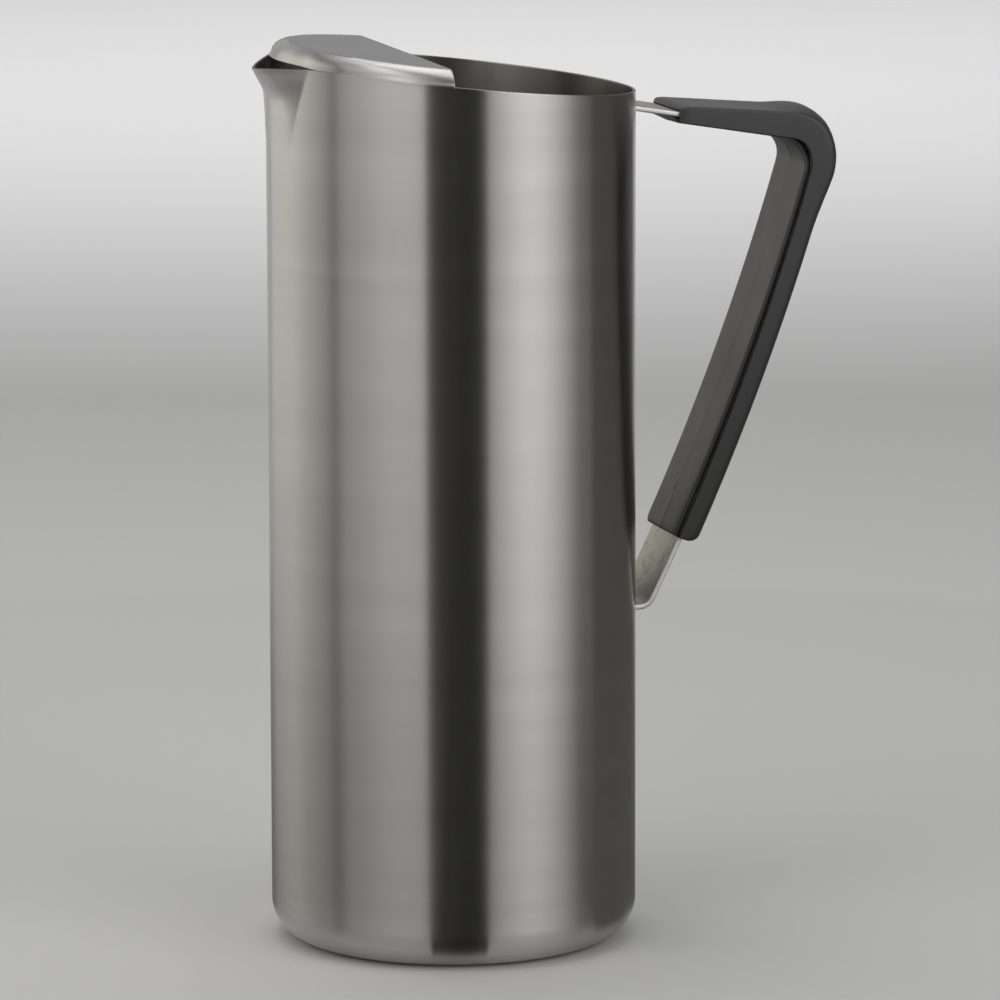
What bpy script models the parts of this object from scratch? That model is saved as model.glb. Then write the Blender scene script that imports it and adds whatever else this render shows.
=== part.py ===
"""Stainless steel water pitcher: a tall tube with a V spout, a welded base and ice guard,
and a flat steel strap handle that carries a grip moulded in two halves.

Metres, +Z up. The origin is the centre of the underside, +X points to the handle and -X to the spout.
"""
import math

import bmesh
import bpy
from mathutils import Matrix, Vector

# Gaps between pieces that are welded, clipped or seated on each other
SEAT_GAP = 0.0003
PEG_CLEARANCE = 0.0003

# Body tube, with a rim that rises towards the spout
BODY_DIAMETER = 0.104
BODY_HEIGHT = 0.2471
RIM_SLOPE = 0.1038
BODY_WALL = 0.0009
BODY_SEGMENTS = 72

# V spout pulled out of the rim
SPOUT_REACH = 0.0055
SPOUT_HALF_ANGLE = math.radians(25)
SPOUT_SIDE_DEPTH = 0.034
SPOUT_KEEL_DEPTH = 0.019
SPOUT_DROOP = 0.0030
SPOUT_TIP_ROUNDING = 0.12
SPOUT_ROWS = 9
SPOUT_ROW_POWER = 1.4
CREASE_POWER = 0.6
CREASE_FOOT_SHARE = 0.2
KEEL_POWER = 1.7

# Pressed base, butt-welded under the tube
BASE_SEAM_HEIGHT = 0.014
BASE_EDGE_RADIUS = 0.0107
BASE_SHEET = 0.0010
BEAD_RADIUS = 0.033
BEAD_WIDTH = 0.006
BEAD_DEPTH = 0.0008

# Ice guard on the spout half of the rim
GUARD_RISE = 0.0046
GUARD_SHEET = 0.0009
GUARD_CHORD = 0.0132
GUARD_BEND_WIDTH = 0.0030
GUARD_BEND_DROP = 0.0015
GUARD_LEAN_FRONT = 0.0022
GUARD_LEAN_ENDS = 0.0004
GUARD_SETBACK = 0.0008
GUARD_TRIM = 0.0005
GUARD_FRONT_ANGLE = math.radians(30)
GUARD_BLEND_ANGLE = math.radians(45)

# Handle strap: a falling arm, a round corner, a slightly bowed leg and a short foot at the wall
STRAP_WIDTH = 0.024
STRAP_THICKNESS = 0.0015
ARM_BELOW_RIM = 0.0056
ARM_FALL = 0.0092
HANDLE_REACH = 0.0544
HANDLE_DROP = 0.1427
FOOT_STANDOFF = 0.0027
LEG_BOW = 0.0034
CORNER_RADIUS = 0.010
FOOT_RADIUS = 0.0075
STRAP_TRIM = 0.004
CORNER_STEPS = 8
LEG_STEPS = 8
FOOT_STEPS = 5

# Grip moulding in two halves, on both faces of the strap
GRIP_WALL = 0.0012
GRIP_LIP = 0.0002
GRIP_ARM_SKIRT = 0.0014
GRIP_TOP_STANDOFF = 0.0118
GRIP_FOOT_STANDOFF = 0.0210
GRIP_ROOF_END = 0.0015
GRIP_ROOF_ARM = 0.0044
GRIP_ROOF_CORNER = 0.0062
GRIP_ROOF_LEG = 0.0042
GRIP_ROOF_FOOT = 0.0023
GRIP_SETTLED_SHARE = 0.15
GRIP_CROWN = 0.0024
GRIP_CROWN_LEAD = 0.006
GRIP_CROWN_RUN = 0.009
GRIP_EDGE_RADIUS = 0.0012
GRIP_END_ROUNDING = 0.0028
GRIP_END_THICKNESS = 0.0007
INNER_THICKNESS = 0.0017
INNER_RIDGE = 0.0003
INNER_CHAMFER = 0.0008
INNER_SETBACK = 0.0003
INNER_END_THICKNESS = 0.0007
NOSE_LENGTH = 0.0040
NOSE_TIP = 0.0004

# Moulded pegs that locate the halves through the strap
PEG_DIAMETER = 0.005
PEG_HEIGHT = 0.0019
PEG_PLACES = (0.20, 0.58, 0.84)

RADIUS = BODY_DIAMETER / 2
STEEL = (0.62, 0.61, 0.60)
STRAP_STEEL = (0.66, 0.65, 0.62)
GRIP_GREY = (0.035, 0.035, 0.037)


def remove_everything():
    for item in list(bpy.data.objects):
        bpy.data.objects.remove(item, do_unlink=True)


def collection(name):
    group = bpy.data.collections.new(name)
    bpy.context.scene.collection.children.link(group)
    return group


def finish(name, colour, metallic, roughness):
    material = bpy.data.materials.new(name)
    material.use_nodes = True
    shader = material.node_tree.nodes["Principled BSDF"]
    shader.inputs["Base Color"].default_value = (*colour, 1)
    shader.inputs["Metallic"].default_value = metallic
    shader.inputs["Roughness"].default_value = roughness
    return material


def add_piece(name, bm, material, sharp_angle=math.radians(35)):
    """Turn a bmesh into a named piece in the pitcher's collection."""
    mesh = bpy.data.meshes.new(name)
    bm.to_mesh(mesh)
    bm.free()
    mesh.shade_smooth()
    mesh.set_sharp_from_angle(angle=sharp_angle)
    mesh.materials.append(material)
    piece = bpy.data.objects.new(name, mesh)
    pitcher.objects.link(piece)
    return piece


def solidify(piece, thickness, offset):
    shell = piece.modifiers.new("sheet", "SOLIDIFY")
    shell.thickness = thickness
    shell.offset = offset
    shell.use_even_offset = True


def combine(piece, other, operation):
    boolean = piece.modifiers.new(other.name, "BOOLEAN")
    boolean.operation = operation
    boolean.solver = "EXACT"
    boolean.object = other


def cutter(name, bm):
    mesh = bpy.data.meshes.new(name)
    bm.to_mesh(mesh)
    bm.free()
    tool = bpy.data.objects.new(name, mesh)
    tool.hide_render = True
    tool.display_type = "WIRE"
    cutters.objects.link(tool)
    return tool


def ease(value):
    """Smooth step from 0 to 1."""
    value = min(max(value, 0.0), 1.0)
    return value * value * (3 - 2 * value)


def rim_height(spoutward):
    """Height of the rim plane at a distance from the axis towards the spout."""
    return BODY_HEIGHT + RIM_SLOPE * spoutward


def loft(sections, cap_end=True):
    """Surface through loops of the same count, with a face over the first loop and one over the last."""
    bm = bmesh.new()
    loops = [[bm.verts.new(point) for point in section] for section in sections]
    count = len(loops[0])
    for first, second in zip(loops, loops[1:]):
        for index in range(count):
            following = (index + 1) % count
            bm.faces.new((first[index], first[following], second[following], second[index]))
    bm.faces.new(loops[0])
    if cap_end:
        bm.faces.new(loops[-1])
    bmesh.ops.recalc_face_normals(bm, faces=bm.faces[:])
    return bm


# Body tube
def spout_outline(angle, depth):
    """Plan position (towards the spout, sideways) of the outer wall at a nominal angle and depth."""
    side = math.copysign(1, angle)
    share = abs(angle) / SPOUT_HALF_ANGLE
    crease = SPOUT_HALF_ANGLE * max(1 - depth / SPOUT_SIDE_DEPTH, CREASE_FOOT_SHARE) ** CREASE_POWER
    spread_end = 2 * SPOUT_HALF_ANGLE
    if share >= 1:
        if abs(angle) < spread_end:
            along = (abs(angle) - SPOUT_HALF_ANGLE) / (spread_end - SPOUT_HALF_ANGLE)
            angle = side * (crease + along * (spread_end - crease))
        return RADIUS * math.cos(angle), RADIUS * math.sin(angle)
    keel = RADIUS + SPOUT_REACH * max(1 - depth / SPOUT_KEEL_DEPTH, 0) ** KEEL_POWER
    rounding = SPOUT_TIP_ROUNDING
    fall = (math.hypot(share, rounding) - rounding) / (math.hypot(1, rounding) - rounding)
    facet = Vector((keel - (keel - RADIUS * math.cos(crease)) * fall, RADIUS * math.sin(crease) * share))
    plain = Vector((RADIUS * math.cos(crease * share), RADIUS * math.sin(crease * share)))
    blended = plain.lerp(facet, ease((SPOUT_SIDE_DEPTH - depth) / SPOUT_SIDE_DEPTH * 2))
    return blended.x, side * blended.y


def lip_droop(angle, depth):
    """How far the spout's lip hangs below the rim plane."""
    share = min(abs(angle) / SPOUT_HALF_ANGLE, 1)
    return SPOUT_DROOP * (1 - share ** 2) * max(1 - depth / SPOUT_KEEL_DEPTH, 0)


def make_body_shell():
    bottom = BASE_SEAM_HEIGHT + SEAT_GAP
    length = BODY_HEIGHT - bottom
    bm = bmesh.new()
    place = Matrix.Translation((0, 0, bottom + length / 2))
    bmesh.ops.create_cone(
        bm, cap_ends=False, segments=BODY_SEGMENTS, radius1=RADIUS, radius2=RADIUS, depth=length, matrix=place
    )
    for row in range(1, SPOUT_ROWS + 1):
        depth = SPOUT_SIDE_DEPTH * (row / SPOUT_ROWS) ** SPOUT_ROW_POWER
        everything = bm.verts[:] + bm.edges[:] + bm.faces[:]
        bmesh.ops.bisect_plane(
            bm, geom=everything, plane_co=(0, 0, BODY_HEIGHT - depth), plane_no=(0, 0, 1), dist=1e-6
        )
    for vert in bm.verts:
        depth = BODY_HEIGHT - vert.co.z
        angle = math.atan2(vert.co.y, -vert.co.x)
        spoutward, sideways = spout_outline(angle, depth)
        slant = RIM_SLOPE * spoutward * (vert.co.z - bottom) / length
        height = vert.co.z + slant - lip_droop(angle, depth)
        vert.co = (-spoutward, sideways, height)
    body = add_piece("body_shell", bm, steel)
    solidify(body, BODY_WALL, -1)


# Turned base and lofted ice guard
def turned(profile, segments):
    """Surface of revolution from a profile of (radius, height) that runs down its outer side."""
    bm = bmesh.new()
    chain = [bm.verts.new((radius, 0, height)) for radius, height in profile]
    for start, end in zip(chain, chain[1:]):
        bm.edges.new((start, end))
    mesh = bpy.data.meshes.new("profile")
    bm.to_mesh(mesh)
    bm.free()
    line = bpy.data.objects.new("profile", mesh)
    bpy.context.scene.collection.objects.link(line)
    screw = line.modifiers.new("turn", "SCREW")
    screw.steps = segments
    screw.render_steps = segments
    screw.use_merge_vertices = True
    screw.merge_threshold = 0.00001
    screw.use_normal_calculate = False
    evaluated = line.evaluated_get(bpy.context.evaluated_depsgraph_get())
    surface = bmesh.new()
    surface.from_mesh(evaluated.to_mesh())
    evaluated.to_mesh_clear()
    bpy.data.objects.remove(line, do_unlink=True)
    bpy.data.meshes.remove(mesh)
    return surface


def arc(centre, radii, start, end, steps):
    """Points of an elliptic arc, angles in degrees."""
    turns = [math.radians(start + (end - start) * step / steps) for step in range(steps + 1)]
    return [(centre[0] + radii[0] * math.cos(turn), centre[1] + radii[1] * math.sin(turn)) for turn in turns]


def make_base_cap():
    edge = BASE_EDGE_RADIUS
    bead_out = BEAD_RADIUS + BEAD_WIDTH / 2
    bead_in = BEAD_RADIUS - BEAD_WIDTH / 2
    profile = [(RADIUS, BASE_SEAM_HEIGHT)]
    profile += arc((RADIUS - edge, edge), (edge, edge), 0, -90, 6)
    profile += [(bead_out, 0), (bead_out - BEAD_DEPTH, BEAD_DEPTH), (bead_in + BEAD_DEPTH, BEAD_DEPTH)]
    profile += [(bead_in, 0), (0, 0)]
    base = add_piece("base_cap", turned(profile, BODY_SEGMENTS), steel)
    solidify(base, BASE_SHEET, -1)


def guard_outline(angle):
    """Profile of the guard at an angle off the spout line, as (radius, height over the rim) downwards."""
    front = 1 - ease((abs(angle) - GUARD_FRONT_ANGLE) / GUARD_BLEND_ANGLE)
    lean = GUARD_LEAN_ENDS + (GUARD_LEAN_FRONT - GUARD_LEAN_ENDS) * front
    rim = RADIUS - GUARD_SETBACK * front
    skirt = GUARD_RISE - GUARD_BEND_DROP
    bend = arc((rim - lean - GUARD_BEND_WIDTH, skirt), (GUARD_BEND_WIDTH, GUARD_BEND_DROP), 90, 0, 5)
    return bend + [(rim + lean * GUARD_TRIM / skirt, -GUARD_TRIM)]


def make_ice_guard():
    angles = [2 * math.pi * step / BODY_SEGMENTS - math.pi for step in range(BODY_SEGMENTS)]
    outlines = [guard_outline(angle) for angle in angles]
    rings = []
    for level in zip(*outlines):
        ring = []
        for angle, (radius, height) in zip(angles, level):
            spoutward = radius * math.cos(angle)
            ring.append(Vector((-spoutward, radius * math.sin(angle), rim_height(spoutward) + height)))
        rings.append(ring)
    bm = loft(rings, cap_end=False)
    everything = bm.verts[:] + bm.edges[:] + bm.faces[:]
    bmesh.ops.bisect_plane(
        bm, geom=everything, plane_co=(-GUARD_CHORD, 0, 0), plane_no=(1, 0, 0), clear_outer=True, dist=1e-6
    )
    guard = add_piece("ice_guard", bm, steel)
    solidify(guard, GUARD_SHEET, -1)
    below_rim = bmesh.new()
    bmesh.ops.create_cube(below_rim, size=2 * BODY_DIAMETER)
    for vert in below_rim.verts:
        vert.co.z += rim_height(-vert.co.x) + SEAT_GAP - BODY_DIAMETER
    combine(guard, cutter("rim_trim", below_rim), "DIFFERENCE")


# Handle strap
def rounded_corner(before, corner, after, radius, steps):
    """Points of the arc that rounds a corner of a path."""
    back = (before - corner).normalized()
    ahead = (after - corner).normalized()
    half = back.angle(ahead) / 2
    reach = radius / math.tan(half)
    centre = corner + (back + ahead).normalized() * (radius / math.sin(half))
    start = corner + back * reach - centre
    sweep = math.pi - 2 * half
    turning = -1 if back.cross(ahead) > 0 else 1
    points = []
    for step in range(steps + 1):
        points.append(centre + Matrix.Rotation(turning * sweep * step / steps, 2) @ start)
    return points


def strap_path():
    """Middle line of the strap in the handle's plane, as (outward, up) points from the arm to the foot."""
    arm_height = rim_height(-RADIUS) - ARM_BELOW_RIM
    wall = Vector((RADIUS, arm_height))
    corner = Vector((RADIUS + HANDLE_REACH, arm_height - ARM_FALL))
    foot = Vector((RADIUS + FOOT_STANDOFF, arm_height - HANDLE_DROP))
    leg = foot - corner
    outward = Vector((-leg.y, leg.x)).normalized()
    leg_points = []
    for step in range(1, LEG_STEPS):
        along = step / LEG_STEPS
        leg_points.append(corner + leg * along + outward * (LEG_BOW * 4 * along * (1 - along)))
    arm = (corner - wall).normalized()
    path = [wall - arm * STRAP_TRIM]
    path += rounded_corner(wall, corner, leg_points[0], CORNER_RADIUS, CORNER_STEPS)
    path += leg_points
    path += rounded_corner(leg_points[-1], foot, foot - Vector((FOOT_STANDOFF, 0)), FOOT_RADIUS, FOOT_STEPS)
    path.append(Vector((RADIUS - STRAP_TRIM, foot.y)))
    return path


class HandleLine:
    """The strap's middle line by length, with the outward normal at each place."""

    def __init__(self, path):
        self.path = path
        self.lengths = [0.0]
        for start, end in zip(path, path[1:]):
            self.lengths.append(self.lengths[-1] + (end - start).length)

    def place(self, length):
        for index in range(len(self.path) - 1):
            if length <= self.lengths[index + 1]:
                break
        share = (length - self.lengths[index]) / (self.lengths[index + 1] - self.lengths[index])
        return self.path[index].lerp(self.path[index + 1], share)

    def normal(self, length):
        step = 0.0006
        ahead = self.place(length + step) - self.place(length - step)
        return Vector((-ahead.y, ahead.x)).normalized()

    def point(self, length, outward, sideways):
        flat = self.place(length) + self.normal(length) * outward
        return Vector((flat.x, sideways, flat.y))


def make_handle_strap():
    bm = bmesh.new()
    chain = [bm.verts.new((point.x, -STRAP_WIDTH / 2, point.y)) for point in strap_path()]
    edges = [bm.edges.new(pair) for pair in zip(chain, chain[1:])]
    swept = bmesh.ops.extrude_edge_only(bm, edges=edges)
    moved = [item for item in swept["geom"] if isinstance(item, bmesh.types.BMVert)]
    bmesh.ops.translate(bm, verts=moved, vec=(0, STRAP_WIDTH, 0))
    strap = add_piece("handle_strap", bm, strap_steel)
    solidify(strap, STRAP_THICKNESS, 0)
    trim = bmesh.new()
    bmesh.ops.create_cone(
        trim, cap_ends=True, segments=BODY_SEGMENTS, radius1=RADIUS + SEAT_GAP, radius2=RADIUS + SEAT_GAP,
        depth=2 * BODY_HEIGHT, matrix=Matrix.Translation((0, 0, BODY_HEIGHT / 2)),
    )
    combine(strap, cutter("wall_trim", trim), "DIFFERENCE")
    return strap


# Grip halves
def grip_range():
    """Lengths along the strap where the grip begins and ends, and where its corner starts and stops."""
    corner_start = LINE.lengths[1]
    corner_end = LINE.lengths[1 + CORNER_STEPS]
    leg_end = LINE.lengths[-1] - STRAP_TRIM - FOOT_STANDOFF
    return STRAP_TRIM + GRIP_TOP_STANDOFF, corner_start, corner_end, leg_end - GRIP_FOOT_STANDOFF


def spread(start, end, count):
    return [start + (end - start) * step / count for step in range(count)]


def grip_stations(start):
    begin, corner_start, corner_end, end = grip_range()
    rounding = GRIP_END_ROUNDING
    stations = [start, start + rounding * 0.15, start + rounding * 0.5]
    stations += spread(start + rounding, corner_start, 6)
    stations += spread(corner_start, corner_end, 10)
    stations += spread(corner_end, end - rounding, 9)
    stations += [end - rounding, end - rounding * 0.5, end - rounding * 0.15, end]
    return stations


def roof(length):
    """Thickness of the outer half over the strap, at its edges."""
    begin, corner_start, corner_end, end = grip_range()
    middle = (corner_start + corner_end) / 2
    settled = corner_end + (end - corner_end) * GRIP_SETTLED_SHARE
    marks = (begin, corner_start, middle, settled, end)
    values = (GRIP_ROOF_END, GRIP_ROOF_ARM, GRIP_ROOF_CORNER, GRIP_ROOF_LEG, GRIP_ROOF_FOOT)
    for index in range(len(marks) - 2):
        if length < marks[index + 1]:
            break
    share = (length - marks[index]) / (marks[index + 1] - marks[index])
    if index:
        share = ease(share)
    return values[index] + (values[index + 1] - values[index]) * share


def end_fall(distance):
    """Share (0 to 1) of a half's thickness that its rounded end has lost, by distance from that end."""
    inside = min(max(1 - distance / GRIP_END_ROUNDING, 0.0), 1.0)
    return 1 - math.sqrt(1 - inside ** 2)


def corner_halves(length):
    """Progress (0 to 1) through the first and through the second half of the grip's corner."""
    begin, corner_start, corner_end, end = grip_range()
    half = (corner_end - corner_start) / 2
    return ease((length - corner_start) / half), ease((length - corner_start - half) / half)


def outer_section(length):
    begin, corner_start, corner_end, end = grip_range()
    channel_half = STRAP_WIDTH / 2 + SEAT_GAP
    half = channel_half + GRIP_WALL
    floor = STRAP_THICKNESS / 2 + SEAT_GAP
    lifted, widened = corner_halves(length)
    lip = -STRAP_THICKNESS / 2 + GRIP_LIP - GRIP_ARM_SKIRT * (1 - lifted)
    back = floor + roof(length) - (roof(length) - GRIP_END_THICKNESS) * end_fall(end - length)
    crown = GRIP_CROWN * ease((length - corner_start + GRIP_CROWN_LEAD) / GRIP_CROWN_RUN)
    edge = GRIP_EDGE_RADIUS
    right = [(half, lip)] + arc((half - edge, back - edge), (edge, edge), 0, 90, 2)
    top = []
    for step in range(1, 6):
        sideways = (half - edge) * (1 - step / 3)
        top.append((sideways, back + crown * (1 - (sideways / (half - edge)) ** 2)))
    left = [(-sideways, outward) for sideways, outward in reversed(right)]
    channel = [(-channel_half, lip), (-channel_half, floor), (channel_half, floor), (channel_half, lip)]
    return [LINE.point(length, outward, sideways) for sideways, outward in right + top + left + channel]


def inner_section(length):
    begin, corner_start, corner_end, end = grip_range()
    seat = -STRAP_THICKNESS / 2 - SEAT_GAP
    grown = ease((length - begin + NOSE_LENGTH) / NOSE_LENGTH)
    depth = NOSE_TIP + (INNER_THICKNESS - NOSE_TIP) * grown
    depth -= (depth - INNER_END_THICKNESS) * end_fall(end - length)
    chamfer = min(INNER_CHAMFER, depth / 3)
    lifted, widened = corner_halves(length)
    half = STRAP_WIDTH / 2 + (SEAT_GAP + GRIP_WALL - INNER_SETBACK) * widened
    right = [(half - chamfer, seat), (half, seat - chamfer), (half, seat - depth + chamfer)]
    right += [(half - chamfer, seat - depth)]
    left = [(-sideways, outward) for sideways, outward in reversed(right)]
    ridge = [(0, seat - depth - INNER_RIDGE * grown)]
    return [LINE.point(length, outward, sideways) for sideways, outward in right + ridge + left]


def peg(length, diameter, low, high):
    """A round peg across the strap, from one outward offset to another."""
    middle = LINE.point(length, (low + high) / 2, 0)
    axis = LINE.normal(length)
    turn = Vector((axis.x, 0, axis.y)).to_track_quat("Z", "Y").to_matrix().to_4x4()
    bm = bmesh.new()
    bmesh.ops.create_cone(
        bm, cap_ends=True, segments=16, radius1=diameter / 2, radius2=diameter / 2, depth=high - low,
        matrix=Matrix.Translation(middle) @ turn,
    )
    return bm


def make_grip(strap):
    begin, corner_start, corner_end, end = grip_range()
    outer_loft = loft([outer_section(at) for at in grip_stations(begin)])
    outer = add_piece("grip_outer", outer_loft, grip_plastic)
    nose_start = begin - NOSE_LENGTH
    inner_loft = loft([inner_section(at) for at in grip_stations(nose_start)])
    inner = add_piece("grip_inner", inner_loft, grip_plastic)
    hole = PEG_DIAMETER + 2 * PEG_CLEARANCE
    root = -STRAP_THICKNESS / 2 - SEAT_GAP - INNER_THICKNESS / 2
    tip = STRAP_THICKNESS / 2 + PEG_HEIGHT
    for number, share in enumerate(PEG_PLACES, 1):
        at = begin + (end - begin) * share
        combine(inner, cutter(f"peg_{number}", peg(at, PEG_DIAMETER, root, tip)), "UNION")
        bore = cutter(f"peg_hole_{number}", peg(at, hole, -STRAP_THICKNESS, tip + PEG_CLEARANCE))
        combine(strap, bore, "DIFFERENCE")
        combine(outer, bore, "DIFFERENCE")


remove_everything()
pitcher = collection("water_pitcher")
cutters = collection("cutters")
steel = finish("brushed_steel", STEEL, 1.0, 0.32)
strap_steel = finish("strap_steel", STRAP_STEEL, 1.0, 0.3)
grip_plastic = finish("grip_plastic", GRIP_GREY, 0.0, 0.5)
LINE = HandleLine(strap_path())

make_body_shell()
make_base_cap()
make_ice_guard()
make_grip(make_handle_strap())
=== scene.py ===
"""A tall brushed-steel water pitcher with a V spout, an ice guard and a strap handle in a plastic grip."""
import bisect
import math

import bpy
from mathutils import Matrix, Vector


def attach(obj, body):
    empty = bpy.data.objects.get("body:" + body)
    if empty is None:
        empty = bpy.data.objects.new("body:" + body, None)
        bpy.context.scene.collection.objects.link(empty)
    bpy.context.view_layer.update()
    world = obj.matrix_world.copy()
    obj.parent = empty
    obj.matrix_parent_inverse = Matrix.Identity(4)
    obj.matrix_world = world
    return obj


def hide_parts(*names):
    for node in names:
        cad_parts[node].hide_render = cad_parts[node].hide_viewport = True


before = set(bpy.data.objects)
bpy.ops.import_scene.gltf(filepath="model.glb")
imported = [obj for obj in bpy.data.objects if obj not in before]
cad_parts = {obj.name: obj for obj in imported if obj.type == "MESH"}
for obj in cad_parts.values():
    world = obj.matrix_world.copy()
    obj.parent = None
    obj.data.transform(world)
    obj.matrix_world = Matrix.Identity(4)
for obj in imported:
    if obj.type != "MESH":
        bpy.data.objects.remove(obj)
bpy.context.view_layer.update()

# Tube and base: a drawn stainless tube with a pressed bottom welded under it. The seam is ground and
# brushed over, so both show as one skin. The rim is cut on a slant, and the spout is pressed out of it as
# a V with a straight keel and fading creases. Painted shade makes its sides a shade darker in colour.
TUBE_RADIUS = 0.052
TUBE_HEIGHT = 0.2471
TUBE_SHEET = 0.0009
TUBE_SIDES = 288
RIM_SLOPE = 0.1038
RIM_BREAK = 0.00012
BASE_EDGE = 0.0107
BASE_STEPS = 12
BASE_FLAT_RADII = (0.020, 0.010, 0.001)
BEAD_RADIUS = 0.033
BEAD_WIDTH = 0.006
BEAD_DEPTH = 0.0008
SPOUT_REACH = 0.0053
SPOUT_HALF_ANGLE = math.radians(25)
SPOUT_DEPTH = 0.026
SPOUT_ROWS = 40
SPOUT_ROW_POWER = 1.2
KEEL_DEPTH = 0.0092
KEEL_ROUNDING = 0.16
KEEL_SHARE = 0.94
CREASE_NARROWING = 0.455
CREASE_POWER = 0.85
CREASE_SPACING = 1.2
CREASE_FADE = 4
CREASE_ROWS = 16
FOLD_ANGLE = math.radians(14)
FOLD_FADE = 1.6
FOLD_AT_RIM = 0.4
FOLD_FULL_DEPTH = 0.006
PANEL_SPACING = 1.3
SHOULDER_PULL = 0.7
TIP_DROOP = 0.0030
TIP_ROUNDING = 0.0012
CREASE_DROOP = 0.0005
CREASE_DROOP_WIDTH = 0.5
DROOP_DEPTH = 0.016
# Painted shade on the spout's sides: its tone, and where it starts, rises, fades and ends.
FACET_SHADE_TONE = (0.58, 0.58, 0.58)
FACET_SHADE_START = 0.12
FACET_SHADE_DRIFT = 20
FACET_SHADE_RISE = 0.28
FACET_SHADE_CREASE_LOSS = 0.6
FACET_SHADE_CREASE = (0.65, 1.0)
FACET_SHADE_DEPTH_LOSS = 0.32
FACET_SHADE_THINS = (0.003, 0.008)
FACET_SHADE_ENDS = (0.008, 0.017)
STEEL_DARK = (0.525, 0.517, 0.505)
STEEL_LIGHT = (0.635, 0.627, 0.615)
# The inside is painted darker than the outside: painted shade inside the tube, with drawn marks of its own.
INSIDE_SHADED_DARK = (0.37, 0.35, 0.33)
INSIDE_SHADED_LIGHT = (0.46, 0.437, 0.414)
INSIDE_TINT = (0.6, 0.58, 0.56)


def ease(value):
    value = min(max(value, 0.0), 1.0)
    return value * value * (3 - 2 * value)


def passed(value, span):
    """Eased progress of a value from the start of a span to its end."""
    return ease((value - span[0]) / (span[1] - span[0]))


def apply_modifiers(piece):
    bpy.ops.object.select_all(action="DESELECT")
    piece.select_set(True)
    bpy.context.view_layer.objects.active = piece
    for modifier in list(piece.modifiers):
        bpy.ops.object.modifier_apply(modifier=modifier.name)


def add_sheet(piece, thickness, offset):
    """Give a skin the thickness of its sheet."""
    sheet = piece.modifiers.new("sheet", "SOLIDIFY")
    sheet.thickness = thickness
    sheet.offset = offset
    sheet.use_even_offset = True


def break_edges(piece, width, segments, sharpest):
    """Round the edges that turn by more than an angle in degrees."""
    broken = piece.modifiers.new("broken edge", "BEVEL")
    broken.width = width
    broken.segments = segments
    broken.limit_method = "ANGLE"
    broken.angle_limit = math.radians(sharpest)


def select_vertices(piece, chosen):
    """Leave edit mode, select the vertices that the test accepts and go back."""
    bpy.ops.mesh.select_all(action="DESELECT")
    bpy.ops.object.mode_set(mode="OBJECT")
    for vertex in piece.data.vertices:
        vertex.select = chosen(vertex.co)
    bpy.ops.object.mode_set(mode="EDIT")
    bpy.ops.mesh.select_mode(type="VERT")


def spout_outline(angle, depth):
    """Plan position (towards the spout, sideways) of the wall, by its angle and its depth under the rim."""
    side = math.copysign(1, angle)
    share = abs(angle) / SPOUT_HALF_ANGLE
    swell = max(1 - depth / SPOUT_DEPTH, 0)
    below = ease((depth - SPOUT_DEPTH) / (CREASE_FADE * SPOUT_DEPTH))
    crease = SPOUT_HALF_ANGLE * (1 - CREASE_NARROWING * (1 - swell) ** CREASE_POWER * (1 - below))
    if share >= 2:
        return TUBE_RADIUS * math.cos(angle), TUBE_RADIUS * math.sin(angle)
    if share >= 1 or swell == 0:
        turned = crease * share
        if share >= 1:
            turned = crease + (share - 1) ** CREASE_SPACING * (2 * SPOUT_HALF_ANGLE - crease)
        return TUBE_RADIUS * math.cos(turned), side * TUBE_RADIUS * math.sin(turned)
    straight = 1 - depth / KEEL_DEPTH
    keel_line = (straight + math.hypot(straight, KEEL_ROUNDING)) / 2
    keel = TUBE_RADIUS + SPOUT_REACH * (KEEL_SHARE * keel_line + (1 - KEEL_SHARE) * swell ** 2)
    front = Vector((keel, 0))
    fold = Vector((TUBE_RADIUS * math.cos(crease), TUBE_RADIUS * math.sin(crease)))
    folded = FOLD_AT_RIM + (1 - FOLD_AT_RIM) * ease(depth / FOLD_FULL_DEPTH)
    facing = crease + FOLD_ANGLE * min(FOLD_FADE * swell, 1) * folded
    shoulder = Vector((keel, fold.y - (keel - fold.x) / math.tan(facing)))
    points = [front, front.lerp(shoulder, SHOULDER_PULL), fold.lerp(shoulder, SHOULDER_PULL), fold]
    along = 1 - (1 - share) ** PANEL_SPACING
    while len(points) > 1:
        points = [start.lerp(end, along) for start, end in zip(points, points[1:])]
    return points[0].x, side * points[0].y


def spout_painted_shade(share, depth):
    """Painted shade on the spout's sides, by their share of the way from keel to crease and their depth."""
    if share > 1.01:
        return 0
    start = FACET_SHADE_START + FACET_SHADE_DRIFT * depth
    across = passed(share, (start, start + FACET_SHADE_RISE))
    across *= 1 - FACET_SHADE_CREASE_LOSS * passed(share, FACET_SHADE_CREASE)
    down = (1 - passed(depth, FACET_SHADE_ENDS)) * (1 - FACET_SHADE_DEPTH_LOSS * passed(depth, FACET_SHADE_THINS))
    return across * down


bpy.ops.object.select_all(action="DESELECT")
bpy.ops.mesh.primitive_cylinder_add(
    vertices=TUBE_SIDES, radius=TUBE_RADIUS, depth=TUBE_HEIGHT - BASE_EDGE, end_fill_type="NOTHING",
    location=(0, 0, (TUBE_HEIGHT + BASE_EDGE) / 2),
)
bpy.ops.object.transform_apply(location=True, rotation=True, scale=True)
body = bpy.context.object
body.name = "brushed_body"
bpy.ops.object.mode_set(mode="EDIT")
cuts = [SPOUT_DEPTH * (row / SPOUT_ROWS) ** SPOUT_ROW_POWER for row in range(1, SPOUT_ROWS + 1)]
cuts += [SPOUT_DEPTH * (1 + CREASE_FADE * row / CREASE_ROWS) for row in range(1, CREASE_ROWS + 1)]
for cut in cuts:
    bpy.ops.mesh.select_all(action="SELECT")
    bpy.ops.mesh.bisect(plane_co=(0, 0, TUBE_HEIGHT - cut), plane_no=(0, 0, 1), threshold=1e-6)
select_vertices(body, lambda co: co.z < BASE_EDGE + 1e-5)
profile = []
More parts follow.
